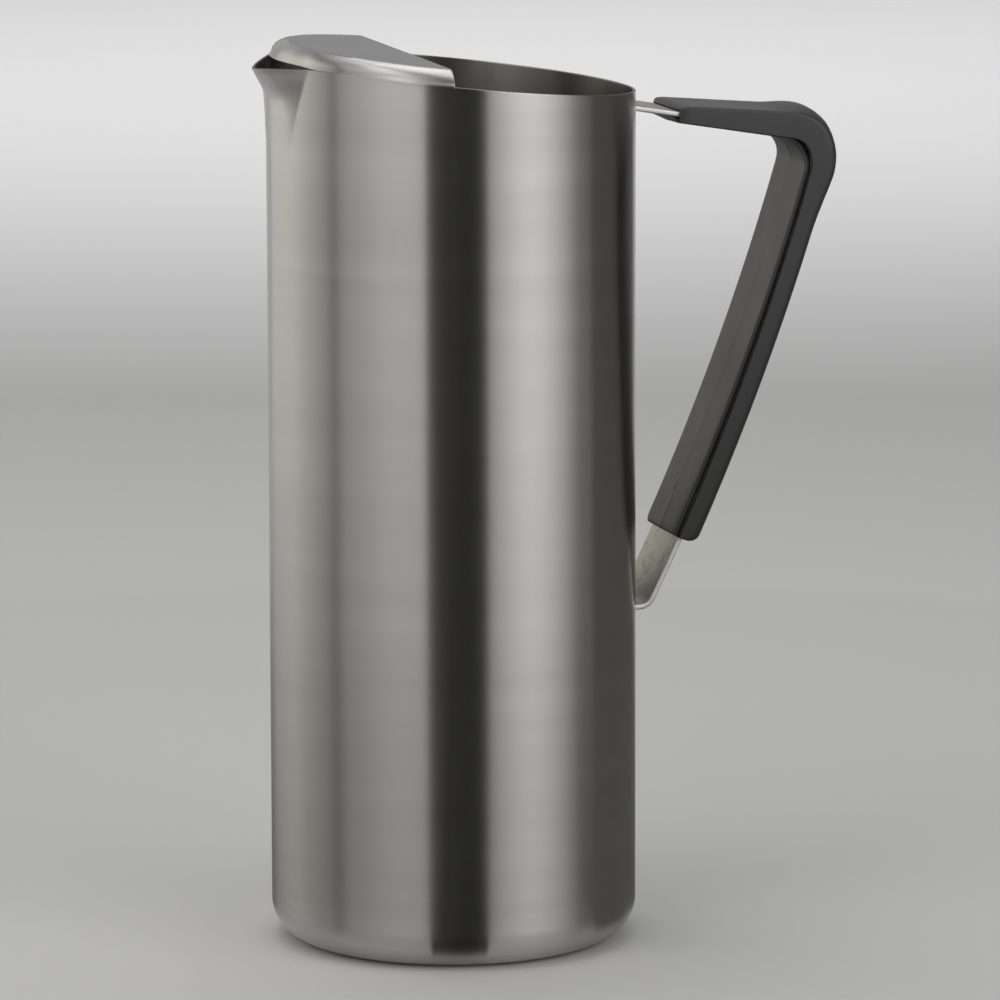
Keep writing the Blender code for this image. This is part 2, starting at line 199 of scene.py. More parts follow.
for step in range(1, BASE_STEPS + 1):
    turn = math.radians(90 * step / BASE_STEPS)
    profile.append((TUBE_RADIUS - BASE_EDGE * (1 - math.cos(turn)), BASE_EDGE * (1 - math.sin(turn))))
for step in range(BASE_STEPS + 1):
    across = BEAD_RADIUS + BEAD_WIDTH / 2 - BEAD_WIDTH * step / BASE_STEPS
    profile.append((across, BEAD_DEPTH * math.sin(math.pi * step / BASE_STEPS) ** 2))
profile += [(radius, 0) for radius in BASE_FLAT_RADII]
ring = (TUBE_RADIUS, BASE_EDGE)
for radius, height in profile:
    bpy.ops.mesh.extrude_edges_move(TRANSFORM_OT_translate={"value": (0, 0, height - ring[1])})
    scale = radius / ring[0]
    bpy.ops.transform.resize(value=(scale, scale, 1), center_override=(0, 0, 0))
    ring = (radius, height)
bpy.ops.mesh.merge(type="CENTER")
bpy.ops.mesh.select_all(action="SELECT")
bpy.ops.mesh.remove_doubles(threshold=1e-6)
bpy.ops.mesh.normals_make_consistent(inside=False)
bpy.ops.object.mode_set(mode="OBJECT")
# Painted shade: each point of the spout's sides keeps how much darker its colour is painted.
painted_facet_shade = body.data.attributes.new("painted_facet_shade", "FLOAT", "POINT")
for vertex in body.data.vertices:
    if vertex.co.z > BASE_EDGE + 1e-5:
        depth = TUBE_HEIGHT - vertex.co.z
        angle = math.atan2(vertex.co.y, -vertex.co.x)
        spoutward, sideways = spout_outline(angle, depth)
        painted_facet_shade.data[vertex.index].value = spout_painted_shade(abs(angle) / SPOUT_HALF_ANGLE, depth)
        slant = RIM_SLOPE * spoutward * (vertex.co.z - BASE_EDGE) / (TUBE_HEIGHT - BASE_EDGE)
        off_keel = math.hypot(sideways, TIP_ROUNDING) / (TUBE_RADIUS * math.sin(SPOUT_HALF_ANGLE))
        droop = TIP_DROOP * max(1 - off_keel, 0)
        droop += CREASE_DROOP * (1 - ease((off_keel - 1) / CREASE_DROOP_WIDTH))
        droop *= ease(1 - depth / DROOP_DEPTH) if spoutward > 0 else 0
        vertex.co = (-spoutward, sideways, vertex.co.z + slant - droop)
add_sheet(body, TUBE_SHEET, -1)
break_edges(body, RIM_BREAK, 2, 60)
apply_modifiers(body)
bpy.ops.object.shade_smooth_by_angle(angle=math.radians(40))


def new_material(name):
    """A node material with its Principled shader, ready to be wired."""
    material = bpy.data.materials.new(name)
    material.use_nodes = True
    tree = material.node_tree
    return material, tree.nodes, tree.links, tree.nodes["Principled BSDF"]


def stretched_noise(nodes, links, stretch, detail):
    """Noise over Object coordinates, stretched by a scale for each axis."""
    place = nodes.new("ShaderNodeTexCoord")
    mapping = nodes.new("ShaderNodeMapping")
    mapping.inputs["Scale"].default_value = stretch
    noise = nodes.new("ShaderNodeTexNoise")
    noise.inputs["Scale"].default_value = 1.0
    noise.inputs["Detail"].default_value = detail
    links.new(place.outputs["Object"], mapping.inputs["Vector"])
    links.new(mapping.outputs["Vector"], noise.inputs["Vector"])
    return noise.outputs["Fac"]


def spread_range(nodes, links, value, low, high):
    """Map a noise value around its middle to a range."""
    spread = nodes.new("ShaderNodeMapRange")
    spread.inputs["From Min"].default_value = 0.3
    spread.inputs["From Max"].default_value = 0.7
    spread.inputs["To Min"].default_value = low
    spread.inputs["To Max"].default_value = high
    links.new(value, spread.inputs["Value"])
    return spread.outputs["Result"]


def add_tone(nodes, links, shader, value, dark, light):
    """Mix two colours by a value, give them to the shader and return the mix."""
    tone = nodes.new("ShaderNodeMix")
    tone.data_type = "RGBA"
    tone.inputs["A"].default_value = (*dark, 1)
    tone.inputs["B"].default_value = (*light, 1)
    links.new(value, tone.inputs["Factor"])
    links.new(tone.outputs["Result"], shader.inputs["Base Color"])
    return tone.outputs["Result"]


def add_finish(nodes, links, shader, value, smooth, rough):
    """Spread the roughness of a finish between two values."""
    links.new(spread_range(nodes, links, value, smooth, rough), shader.inputs["Roughness"])


def add_bump(nodes, links, shader, height, strength, distance):
    bump = nodes.new("ShaderNodeBump")
    bump.inputs["Strength"].default_value = strength
    bump.inputs["Distance"].default_value = distance
    links.new(height, bump.inputs["Height"])
    links.new(bump.outputs["Normal"], shader.inputs["Normal"])


def brush_round(nodes, links, shader, amount):
    """Draw reflections out up and down, as on steel that is brushed or drawn round its axis."""
    around = nodes.new("ShaderNodeTangent")
    around.direction_type = "RADIAL"
    around.axis = "Z"
    links.new(around.outputs["Tangent"], shader.inputs["Tangent"])
    shader.inputs["Anisotropic"].default_value = amount
    shader.inputs["Anisotropic Rotation"].default_value = 0.25


brushed_steel, nodes, links, shader = new_material("brushed_steel")
brush_lines = stretched_noise(nodes, links, (25, 25, 4200), 3)
brush_bands = stretched_noise(nodes, links, (9, 9, 160), 6)
steel_tone = add_tone(nodes, links, shader, brush_bands, STEEL_DARK, STEEL_LIGHT)
# Painted shade: the spout's sides are multiplied a shade darker in the base colour.
facet_shade_attribute = nodes.new("ShaderNodeAttribute")
facet_shade_attribute.attribute_name = "painted_facet_shade"
facet_shade_mix = nodes.new("ShaderNodeMix")
facet_shade_mix.data_type = "RGBA"
facet_shade_mix.blend_type = "MULTIPLY"
facet_shade_mix.inputs["B"].default_value = (*FACET_SHADE_TONE, 1)
links.new(steel_tone, facet_shade_mix.inputs["A"])
links.new(facet_shade_attribute.outputs["Fac"], facet_shade_mix.inputs["Factor"])
links.new(facet_shade_mix.outputs["Result"], shader.inputs["Base Color"])
shader.inputs["Metallic"].default_value = 1
add_finish(nodes, links, shader, brush_lines, smooth=0.29, rough=0.35)
brush_round(nodes, links, shader, 1.0)
add_bump(nodes, links, shader, brush_lines, strength=0.12, distance=0.00002)
body.data.materials.append(brushed_steel)

# Painted shade: the same steel with a darker colour inside the tube; the drawn marks are its own texture.
inside_steel_shaded, nodes, links, shader = new_material("inside_steel_shaded")
drawn_marks = stretched_noise(nodes, links, (120, 120, 14), 3)
add_tone(nodes, links, shader, drawn_marks, INSIDE_SHADED_DARK, INSIDE_SHADED_LIGHT)
shader.inputs["Metallic"].default_value = 1
shader.inputs["Specular Tint"].default_value = (*INSIDE_TINT, 1)
add_finish(nodes, links, shader, drawn_marks, smooth=0.30, rough=0.36)
brush_round(nodes, links, shader, 0.8)
add_bump(nodes, links, shader, drawn_marks, strength=0.10, distance=0.0001)
body.data.materials.append(inside_steel_shaded)
for face in body.data.polygons:
    outward = Vector((face.center.x, face.center.y, 0)).normalized()
    if face.normal.dot(outward) < -0.05 or face.normal.z > 0.3:
        face.material_index = 1
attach(body, "root")
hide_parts("body_shell", "base_cap")

# Ice guard: a half lid of satin sheet, welded on the spout half of the slanted rim. Its edge is bent down to
# a skirt that meets the rim, leans in towards the front and stands free over the spout.
GUARD_RISE = 0.0047
GUARD_SHEET = 0.0008
GUARD_CHORD = 0.0132
GUARD_BREAK = 0.00018
GUARD_BEND_STEP = 18
GUARD_BENDS = (
    (0.0026, 0.0030, 1.0), (0.0036, 0.0032, 1.0), (0.0054, 0.0036, 1.0), (0.0038, 0.0032, 1.1),
    (0.0030, 0.0036, 1.35),
)
GUARD_BEND_POINTS = 12
GUARD_SKIRT_SHARES = (0.88, 0.76, 0.64, 0.52, 0.40, 0.28, 0.16, 0.06, 0.0)
GUARD_CLOSES = (18, 29)
GUARD_LEAN_FRONT = 0.0030
GUARD_LEAN_ENDS = (14, 38)
GUARD_SETBACK = 0.0011
GUARD_SETBACK_ENDS = (12, 48)
GUARD_LIP_GAP = 0.00005
GUARD_LEVEL = 0.001
WELD_OVERLAP = 0.0004
WELD_PROUD = 0.00003
WELD_FLARE = 0.0005
WELD_FLARE_GROWS = (46, 66)
WELD_HEIGHT = 0.0014
SATIN_DARK = (0.48, 0.48, 0.49)
SATIN_LIGHT = (0.53, 0.53, 0.54)
SATIN_TINT = (0.72, 0.72, 0.73)


def guard_bend(off):
    """Width, drop and flatness of the guard's bend, on a smooth curve through the listed bends."""
    last = len(GUARD_BENDS) - 1
    index = min(int(off / GUARD_BEND_STEP), last)
    near = [Vector(GUARD_BENDS[min(abs(index + step), last)]) for step in (-1, 0, 1, 2)]
    share = off / GUARD_BEND_STEP - index
    curve = near[0] * (-share + 2 * share ** 2 - share ** 3) + near[1] * (2 - 5 * share ** 2 + 3 * share ** 3)
    curve += near[2] * (share + 4 * share ** 2 - 3 * share ** 3) + near[3] * (share ** 3 - share ** 2)
    return curve / 2


def guard_profile(angle):
    """Radius and height over the rim of the guard's skin, from the top down, at an angle off the spout."""
    off = math.degrees(abs(angle))
    width, drop, flat = guard_bend(off)
    free = 1 - passed(off, GUARD_CLOSES)
    weld = WELD_FLARE * passed(off, WELD_FLARE_GROWS)
    lean = GUARD_LEAN_FRONT * (1 - passed(off, GUARD_LEAN_ENDS))
    rim = TUBE_RADIUS + WELD_PROUD - GUARD_SETBACK * (1 - passed(off, GUARD_SETBACK_ENDS))
    skirt = GUARD_RISE - drop
    end = GUARD_LIP_GAP * free - WELD_OVERLAP * (1 - free)
    heights = []
    for step in range(GUARD_BEND_POINTS + 1):
        turn = math.radians(90 - 90 * step / GUARD_BEND_POINTS)
        inset = width * (1 - max(math.cos(turn), 0) ** flat)
        heights.append((skirt + drop * max(math.sin(turn), 0) ** flat, inset))
    heights += [(end + (skirt - end) * share, 0) for share in GUARD_SKIRT_SHARES]
    points = []
    for height, inset in heights:
        share = (height - end) / (GUARD_RISE - end)
        slope = lean * (share * free + share ** 2 * (1 - free))
        flare = weld * ease(max(height, 0) / WELD_HEIGHT)
        points.append((rim - slope - flare - inset, height))
    return points


def weigh_normals(piece):
    """Let large faces lead the shading, so that flats stay flat beside their bends."""
    weighted = piece.modifiers.new("weighted normals", "WEIGHTED_NORMAL")
    weighted.keep_sharp = True
    apply_modifiers(piece)


bpy.ops.object.select_all(action="DESELECT")
bpy.ops.mesh.primitive_circle_add(vertices=TUBE_SIDES, radius=TUBE_RADIUS / 2, fill_type="NGON")
guard = bpy.context.object
guard.name = "guard_sheet"
bpy.ops.object.mode_set(mode="EDIT")
bpy.ops.mesh.select_all(action="SELECT")
bpy.ops.mesh.inset(thickness=TUBE_RADIUS / 6)
select_vertices(guard, lambda co: co.length > TUBE_RADIUS / 2 - 1e-5)
for level in range(len(guard_profile(0))):
    bpy.ops.mesh.extrude_edges_move(TRANSFORM_OT_translate={"value": (0, 0, -GUARD_LEVEL)})
bpy.ops.object.mode_set(mode="OBJECT")
for vertex in guard.data.vertices:
    angle = math.atan2(vertex.co.y, -vertex.co.x)
    level = round(-vertex.co.z / GUARD_LEVEL)
    radius, height = vertex.co.xy.length, GUARD_RISE
    if level > 0:
        radius, height = guard_profile(angle)[level - 1]
    spoutward = radius * math.cos(angle)
    rim = TUBE_HEIGHT + RIM_SLOPE * spoutward
    vertex.co = (-spoutward, radius * math.sin(angle), rim + height)
bpy.ops.object.mode_set(mode="EDIT")
bpy.ops.mesh.select_all(action="SELECT")
bpy.ops.mesh.normals_make_consistent(inside=False)
bpy.ops.mesh.bisect(plane_co=(-GUARD_CHORD, 0, 0), plane_no=(1, 0, 0), clear_outer=True, threshold=1e-6)
bpy.ops.object.mode_set(mode="OBJECT")
add_sheet(guard, GUARD_SHEET, -1)
break_edges(guard, GUARD_BREAK, 2, 50)
apply_modifiers(guard)
bpy.ops.object.shade_smooth_by_angle(angle=math.radians(40))
weigh_normals(guard)

satin_steel, nodes, links, shader = new_material("satin_steel")
satin_cloud = stretched_noise(nodes, links, (60, 60, 60), 2)
satin_grain = stretched_noise(nodes, links, (3000, 3000, 3000), 2)
add_tone(nodes, links, shader, satin_cloud, SATIN_DARK, SATIN_LIGHT)
shader.inputs["Metallic"].default_value = 1
shader.inputs["Specular Tint"].default_value = (*SATIN_TINT, 1)
add_finish(nodes, links, shader, satin_cloud, smooth=0.30, rough=0.36)
add_bump(nodes, links, shader, satin_grain, strength=0.08, distance=0.00003)
guard.data.materials.append(satin_steel)
guard.data.materials.append(brushed_steel)
for face in guard.data.polygons:
    outward = Vector((face.center.x, face.center.y, 0)).normalized()
    if face.normal.dot(outward) > 0.15 and face.center.x < -GUARD_CHORD - 1e-5:
        face.material_index = 1
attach(guard, "root")
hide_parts("ice_guard")

# Handle strap: a strip of ground flat steel, bent to a falling arm, a round corner and a slightly bowed leg.
# Both ends are butt-welded to the tube.
STRAP_WIDTH = 0.024
STRAP_THICKNESS = 0.0015
STRAP_BREAK = 0.00045
STRAP_RUN_IN = 0.004
STRAP_WELD_DEPTH = 0.0004
STRAP_SAMPLE = 0.0012
ARM_BELOW_RIM = 0.0056
ARM_HEIGHT = TUBE_HEIGHT - RIM_SLOPE * TUBE_RADIUS - ARM_BELOW_RIM
ARM_FALL = 0.0092
HANDLE_REACH = 0.0544
HANDLE_DROP = 0.1427
CORNER_RADIUS = 0.010
CORNER_STEPS = 20
LEG_BOW = 0.0034
LEG_STEPS = 32
LEG_FIRST_STEP = 4
LEG_LAST_STEP = 30
FOOT_STANDOFF = 0.0027
FOOT_RADIUS = 0.0042
FOOT_STEPS = 12
CORE_SIDES = 144
CORE_HEIGHT = 0.6
STAIN_DARK = (0.29, 0.278, 0.225)
STAIN_LIGHT = (0.42, 0.408, 0.36)
GROUND_DARK = (0.80, 0.785, 0.76)
GROUND_LIGHT = (0.90, 0.885, 0.86)


def rounded_corner(before, corner, after, radius, steps):
    """Points of the arc that rounds a corner of a path in the handle's plane."""
    back = (before - corner).normalized()
    ahead = (after - corner).normalized()
    half = back.angle(ahead) / 2
    centre = corner + (back + ahead).normalized() * (radius / math.sin(half))
    start = corner + back * (radius / math.tan(half)) - centre
    turning = -1 if back.cross(ahead) > 0 else 1
    sweep = turning * (math.pi - 2 * half)
    return [centre + Matrix.Rotation(sweep * step / steps, 2) @ start for step in range(steps + 1)]


def strap_path():
    """Middle line of the strap as (outward, up) points, from the wall round the handle and back to it."""
    wall = Vector((TUBE_RADIUS, ARM_HEIGHT))
    corner = Vector((TUBE_RADIUS + HANDLE_REACH, ARM_HEIGHT - ARM_FALL))
    foot = Vector((TUBE_RADIUS + FOOT_STANDOFF, ARM_HEIGHT - HANDLE_DROP))
    leg = foot - corner
    outward = Vector((-leg.y, leg.x)).normalized()
    leg_points = []
    for step in range(LEG_FIRST_STEP, LEG_LAST_STEP + 1):
        along = step / LEG_STEPS
        leg_points.append(corner + leg * along + outward * (LEG_BOW * 4 * along * (1 - along)))
    arm = (corner - wall).normalized()
    path = [wall - arm * STRAP_RUN_IN]
    path += rounded_corner(wall, corner, leg_points[0], CORNER_RADIUS, CORNER_STEPS)
    path += leg_points
    path += rounded_corner(leg_points[-1], foot, foot - Vector((FOOT_STANDOFF, 0)), FOOT_RADIUS, FOOT_STEPS)
    path.append(Vector((TUBE_RADIUS - STRAP_RUN_IN, foot.y)))
    return path


strap_line = strap_path()
strap_lengths = [0.0]
for start, end in zip(strap_line, strap_line[1:]):
    strap_lengths.append(strap_lengths[-1] + (end - start).length)


def along_strap(length):
    """Point of the strap's middle line at a length from its upper end."""
    index = min(max(bisect.bisect_right(strap_lengths, length) - 1, 0), len(strap_line) - 2)
    share = (length - strap_lengths[index]) / (strap_lengths[index + 1] - strap_lengths[index])
    return strap_line[index].lerp(strap_line[index + 1], share)


def strap_point(length, outward, sideways):
    """Point beside the strap's middle line, by its length, its offset outwards and its offset in Y."""
    ahead = along_strap(length + STRAP_SAMPLE) - along_strap(length - STRAP_SAMPLE)
    flat = along_strap(length) + Vector((-ahead.y, ahead.x)).normalized() * outward
    return Vector((flat.x, sideways, flat.y))


def cut_away(piece, tool):
    """Cut a closed shape out of a piece."""
    cut = piece.modifiers.new("cut", "BOOLEAN")
    cut.object = tool
    cut.operation = "DIFFERENCE"
    cut.solver = "EXACT"


bpy.ops.object.select_all(action="DESELECT")
bpy.ops.mesh.primitive_plane_add(size=STRAP_WIDTH)
strap = bpy.context.object
strap.name = "steel_strap"
bpy.ops.object.mode_set(mode="EDIT")
select_vertices(strap, lambda co: co.x > 0)
bpy.ops.object.mode_set(mode="OBJECT")
for vertex in strap.data.vertices:
    place = strap_line[1] if vertex.co.x > 0 else strap_line[0]
    vertex.co = (place.x, vertex.co.y, place.y)
bpy.ops.object.mode_set(mode="EDIT")
for start, end in zip(strap_line[1:], strap_line[2:]):
    step = end - start
    bpy.ops.mesh.extrude_edges_move(TRANSFORM_OT_translate={"value": (step.x, 0, step.y)})
bpy.ops.mesh.select_all(action="SELECT")
bpy.ops.mesh.normals_make_consistent(inside=False)
bpy.ops.object.mode_set(mode="OBJECT")
add_sheet(strap, STRAP_THICKNESS, 0)
bpy.ops.object.select_all(action="DESELECT")
bpy.ops.mesh.primitive_cylinder_add(
    vertices=CORE_SIDES, radius=TUBE_RADIUS - STRAP_WELD_DEPTH, depth=CORE_HEIGHT,
)
tube_core = bpy.context.object
cut_away(strap, tube_core)
break_edges(strap, STRAP_BREAK, 3, 60)
apply_modifiers(strap)
bpy.ops.object.shade_smooth_by_angle(angle=math.radians(35))
weigh_normals(strap)
bpy.data.objects.remove(tube_core)

strap_steel, nodes, links, shader = new_material("strap_steel")
mill_lines = stretched_noise(nodes, links, (40, 2500, 40), 2)
mill_stains = stretched_noise(nodes, links, (330, 330, 330), 4)
tone = nodes.new("ShaderNodeValToRGB")
tone.color_ramp.elements[0].position = 0.30
tone.color_ramp.elements[0].color = (*STAIN_DARK, 1)
tone.color_ramp.elements[1].position = 0.52
tone.color_ramp.elements[1].color = (*STAIN_LIGHT, 1)
links.new(mill_stains, tone.inputs["Fac"])
links.new(tone.outputs["Color"], shader.inputs["Base Color"])
shader.inputs["Metallic"].default_value = 1
add_finish(nodes, links, shader, mill_lines, smooth=0.36, rough=0.46)
add_bump(nodes, links, shader, mill_stains, strength=0.12, distance=0.00008)
strap.data.materials.append(strap_steel)

ground_steel, nodes, links, shader = new_material("ground_steel")
ground_marks = stretched_noise(nodes, links, (300, 300, 2400), 2)
add_tone(nodes, links, shader, ground_marks, GROUND_DARK, GROUND_LIGHT)
shader.inputs["Metallic"].default_value = 1
add_finish(nodes, links, shader, ground_marks, smooth=0.46, rough=0.54)
add_bump(nodes, links, shader, ground_marks, strength=0.10, distance=0.00004)
strap.data.materials.append(ground_steel)
for face in strap.data.polygons:
    if abs(face.normal.y) > 0.6:
        face.material_index = 1
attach(strap, "root")
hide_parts("handle_strap")

# Grip halves: two dark plastic mouldings clipped together round the strap by pegs that pass through it.
# The outer half is a channel over the strap's back with a crowned top. The inner half is a plate on its
# palm side.
GRIP_SEAT = 0.0003
GRIP_WALL = 0.0012
GRIP_HALF = STRAP_WIDTH / 2 + GRIP_SEAT + GRIP_WALL
GRIP_TOP_STANDOFF = 0.0118
GRIP_FOOT_STANDOFF = 0.0210
GRIP_ARM_SKIRT = 0.0014
GRIP_LIP_BREAK = 0.0002
GRIP_ROOF_END = 0.0015
GRIP_ROOF_ARM = 0.0042
GRIP_ROOF_CORNER = 0.0062
GRIP_ROOF_LEG = 0.0042
GRIP_ROOF_FOOT = 0.0023
GRIP_ROOF_SETTLED = 0.15
GRIP_CROWN = 0.0024
GRIP_CROWN_LEAD = 0.0035
GRIP_CROWN_RUN = 0.0075
GRIP_CROWN_POINTS = 16
GRIP_ARM_EDGE = 0.0007
GRIP_LEG_EDGE = 0.0028
GRIP_EDGE_STEPS = 6
GRIP_END_ROUNDING = 0.0028
GRIP_END_SHARES = (0.03, 0.12, 0.3, 0.6)
GRIP_END_THICKNESS = 0.0007
GRIP_START_DRAW = 0.0008
GRIP_SMOOTH = math.radians(32)
ARM_RINGS = 16
CORNER_RINGS = 24
LEG_RINGS = 30
INNER_THICKNESS = 0.0017
INNER_ARM_THICKNESS = 0.0014
INNER_END_THICKNESS = 0.0007
INNER_SETBACK = 0.0004
INNER_UNDERCUT = 0.62
INNER_ROUNDING = 0.24
INNER_EDGE_STEPS = 4
INNER_RIDGE = 0.0003
INNER_RIDGE_SHARES = (0.75, 0.5, 0.25)
PARTING_DEPTH = 0.00003
PARTING_HALF = 0.00022
PARTING_FLOOR_HALF = 0.00008
NOSE_LENGTH = 0.0012
NOSE_TIP = 0.0003
GATE_DISTANCE = 0.0125
GATE_RADIUS = 0.0007
GATE_DEPTH = 0.00012
GATE_SIDES = 24
GATE_PIN = 0.001
# The grip's colour is painted darker towards the bottom of the handle: painted shade, over the moulding's own
# faint flow cloud.
GRIP_SHADED_DARK = (0.022, 0.022, 0.022)
GRIP_LIGHT = (0.044, 0.044, 0.0455)
GRIP_SHADE_HEIGHTS = (0.10, 0.25)

corner_start = strap_lengths[1]
corner_end = strap_lengths[1 + CORNER_STEPS]
corner_middle = (corner_start + corner_end) / 2
grip_begin = STRAP_RUN_IN + GRIP_TOP_STANDOFF
grip_end = strap_lengths[-1] - STRAP_RUN_IN - FOOT_STANDOFF - GRIP_FOOT_STANDOFF


def roof(length):
    """Thickness of the outer half over the strap, at its edges."""
    settled = corner_end + (grip_end - corner_end) * GRIP_ROOF_SETTLED
    marks = (grip_begin, corner_start, corner_middle, settled, grip_end)
    values = (GRIP_ROOF_END, GRIP_ROOF_ARM, GRIP_ROOF_CORNER, GRIP_ROOF_LEG, GRIP_ROOF_FOOT)
    for index in range(len(marks) - 2):
        if length < marks[index + 1]:
            break
    share = (length - marks[index]) / (marks[index + 1] - marks[index])
    if index:
        share = ease(share)
    return values[index] + (values[index + 1] - values[index]) * share


def end_fall(distance):
    """Share of a half's thickness that its rounded end has lost, by distance from that end."""
    inside = min(max(1 - distance / GRIP_END_ROUNDING, 0.0), 1.0)
    return 1 - math.sqrt(1 - inside ** 2)


def mirrored(right):
    return [(-sideways, outward) for sideways, outward in reversed(right)]


def outer_outline(length):
    """Closed outline (sideways, outward) of the outer half at a length along the strap."""
    channel = STRAP_WIDTH / 2 + GRIP_SEAT
    floor = STRAP_THICKNESS / 2 + GRIP_SEAT
    lip = -STRAP_THICKNESS / 2 - GRIP_ARM_SKIRT * (1 - passed(length, (corner_start, corner_middle)))
    drawn = GRIP_START_DRAW * end_fall(length - grip_begin)
    half = GRIP_HALF - drawn
    back = floor + roof(length) - (roof(length) - GRIP_END_THICKNESS) * end_fall(grip_end - length) - drawn
    crown = GRIP_CROWN * ease((length - corner_start + GRIP_CROWN_LEAD) / GRIP_CROWN_RUN)
    edge = GRIP_ARM_EDGE + (GRIP_LEG_EDGE - GRIP_ARM_EDGE) * passed(length, (corner_start, corner_end))
    slope = math.atan(2 * crown / (half - edge))
    right = [(half - GRIP_LIP_BREAK, lip), (half, lip + GRIP_LIP_BREAK)]
    for step in range(GRIP_EDGE_STEPS + 1):
        turn = (math.pi / 2 - slope) * step / GRIP_EDGE_STEPS
        right.append((half - edge * (1 - math.cos(turn)), back - edge * (1 - math.sin(turn))))
    crest, shoulder = right[-1]
    rise = math.tan(slope) * crest / 2
    top = []
    for step in range(1, GRIP_CROWN_POINTS):
        across = 1 - 2 * step / GRIP_CROWN_POINTS
        top.append((crest * across, shoulder + rise * (1 - across ** 2)))
    inside = [(-channel, lip), (-channel, floor), (channel, floor), (channel, lip)]
    return right + top + mirrored(right) + inside


def inner_outline(length):
    """Closed outline (sideways, outward) of the inner half at a length along the strap."""
    seat = -STRAP_THICKNESS / 2 - GRIP_SEAT
    grown = passed(length, (grip_begin - NOSE_LENGTH, grip_begin))
    thickening = passed(length, (corner_start, corner_middle))
    full = INNER_ARM_THICKNESS + (INNER_THICKNESS - INNER_ARM_THICKNESS) * thickening
    depth = NOSE_TIP + (full - NOSE_TIP) * grown
    depth -= (depth - INNER_END_THICKNESS) * end_fall(grip_end - length)
    undercut = depth * INNER_UNDERCUT
    rounding = depth * INNER_ROUNDING
    widened = GRIP_HALF - INNER_SETBACK - STRAP_WIDTH / 2
    half = STRAP_WIDTH / 2 + widened * passed(length, (corner_middle, corner_end))
    palm = seat - depth
    ridge = INNER_RIDGE * grown
    right = [(half - undercut, seat), (half, seat - undercut)]
    for step in range(INNER_EDGE_STEPS + 1):
        turn = math.radians(90 * step / INNER_EDGE_STEPS)
        sideways = half - rounding * (1 - math.cos(turn))
        right.append((sideways, palm + rounding * (1 - math.sin(turn))))
    for share in INNER_RIDGE_SHARES:
        right.append(((half - rounding) * share, palm - ridge * (1 - share)))
    right += [(PARTING_HALF, palm - ridge), (PARTING_FLOOR_HALF, palm - ridge - PARTING_DEPTH * grown)]
    return right + mirrored(right)


def grip_stations(start):
    """Lengths along the strap for the grip's rings, close together at the ends and in the corner."""
    rounded, falling = start + GRIP_END_ROUNDING, grip_end - GRIP_END_ROUNDING
    runs = (
        (rounded, corner_start, ARM_RINGS), (corner_start, corner_end, CORNER_RINGS),
        (corner_end, falling, LEG_RINGS),
    )
    stations = [start + GRIP_END_ROUNDING * share for share in (0, *GRIP_END_SHARES)]
    for low, high, count in runs:
        stations += [low + (high - low) * step / count for step in range(count)]
    return stations + [grip_end - GRIP_END_ROUNDING * share for share in (1, *GRIP_END_SHARES[::-1], 0)]


def sweep_grip(name, outline, start):
    """A capped cylinder whose rings are laid along the strap, each ring shaped by the outline there."""
    stations = grip_stations(start)
    last = len(stations) - 1
    rings = [outline(length) for length in stations]
    around = len(rings[0])
    bpy.ops.object.select_all(action="DESELECT")
    bpy.ops.mesh.primitive_cylinder_add(vertices=around, radius=1, depth=1, end_fill_type="NGON")
    piece = bpy.context.object
    piece.name = name
    bpy.ops.object.mode_set(mode="EDIT")
    for station in range(1, last):
        bpy.ops.mesh.select_all(action="SELECT")
        cut = station / last - 0.5
        bpy.ops.mesh.bisect(plane_co=(0, 0, cut), plane_no=(0, 0, 1), threshold=1e-7)
    bpy.ops.object.mode_set(mode="OBJECT")
    for vertex in piece.data.vertices:
        station = round((vertex.co.z + 0.5) * last)
        place = round(math.atan2(vertex.co.x, vertex.co.y) / math.tau * around) % around
        sideways, outward = rings[station][place]
        vertex.co = strap_point(stations[station], outward, sideways)
    bpy.ops.object.mode_set(mode="EDIT")
    bpy.ops.mesh.select_all(action="SELECT")
    bpy.ops.mesh.normals_make_consistent(inside=False)
    bpy.ops.object.mode_set(mode="OBJECT")
    bpy.ops.object.shade_smooth_by_angle(angle=GRIP_SMOOTH)
    return piece


grip_back = sweep_grip("grip_back", outer_outline, grip_begin)
grip_palm = sweep_grip("grip_palm", inner_outline, grip_begin - NOSE_LENGTH)

bpy.ops.object.select_all(action="DESELECT")
gate_length = grip_end - GATE_DISTANCE
palm_face = -STRAP_THICKNESS / 2 - GRIP_SEAT - INNER_THICKNESS - INNER_RIDGE
gate_axis = strap_point(gate_length, 1, 0) - strap_point(gate_length, 0, 0)
bpy.ops.mesh.primitive_cylinder_add(
    vertices=GATE_SIDES, radius=GATE_RADIUS, depth=GATE_PIN,
    location=strap_point(gate_length, palm_face + GATE_DEPTH - GATE_PIN / 2, 0),
    rotation=gate_axis.to_track_quat("Z", "Y").to_euler(),
)
gate_pin = bpy.context.object
cut_away(grip_palm, gate_pin)
apply_modifiers(grip_palm)
bpy.ops.object.shade_smooth_by_angle(angle=GRIP_SMOOTH)
bpy.data.objects.remove(gate_pin)


def smooth_step(nodes, links, value, start, end):
    """Map a value from 0 at the start to 1 at the end, eased at both."""
    step = nodes.new("ShaderNodeMapRange")
    step.interpolation_type = "SMOOTHSTEP"
    step.inputs["From Min"].default_value = start
    step.inputs["From Max"].default_value = end
    links.new(value, step.inputs["Value"])
    return step.outputs["Result"]


grip_plastic, nodes, links, shader = new_material("grip_plastic")
flow_cloud = stretched_noise(nodes, links, (45, 45, 45), 3)
moulded_grain = stretched_noise(nodes, links, (2600, 2600, 2600), 2)
place = nodes.new("ShaderNodeTexCoord")
axes = nodes.new("ShaderNodeSeparateXYZ")
links.new(place.outputs["Object"], axes.inputs["Vector"])
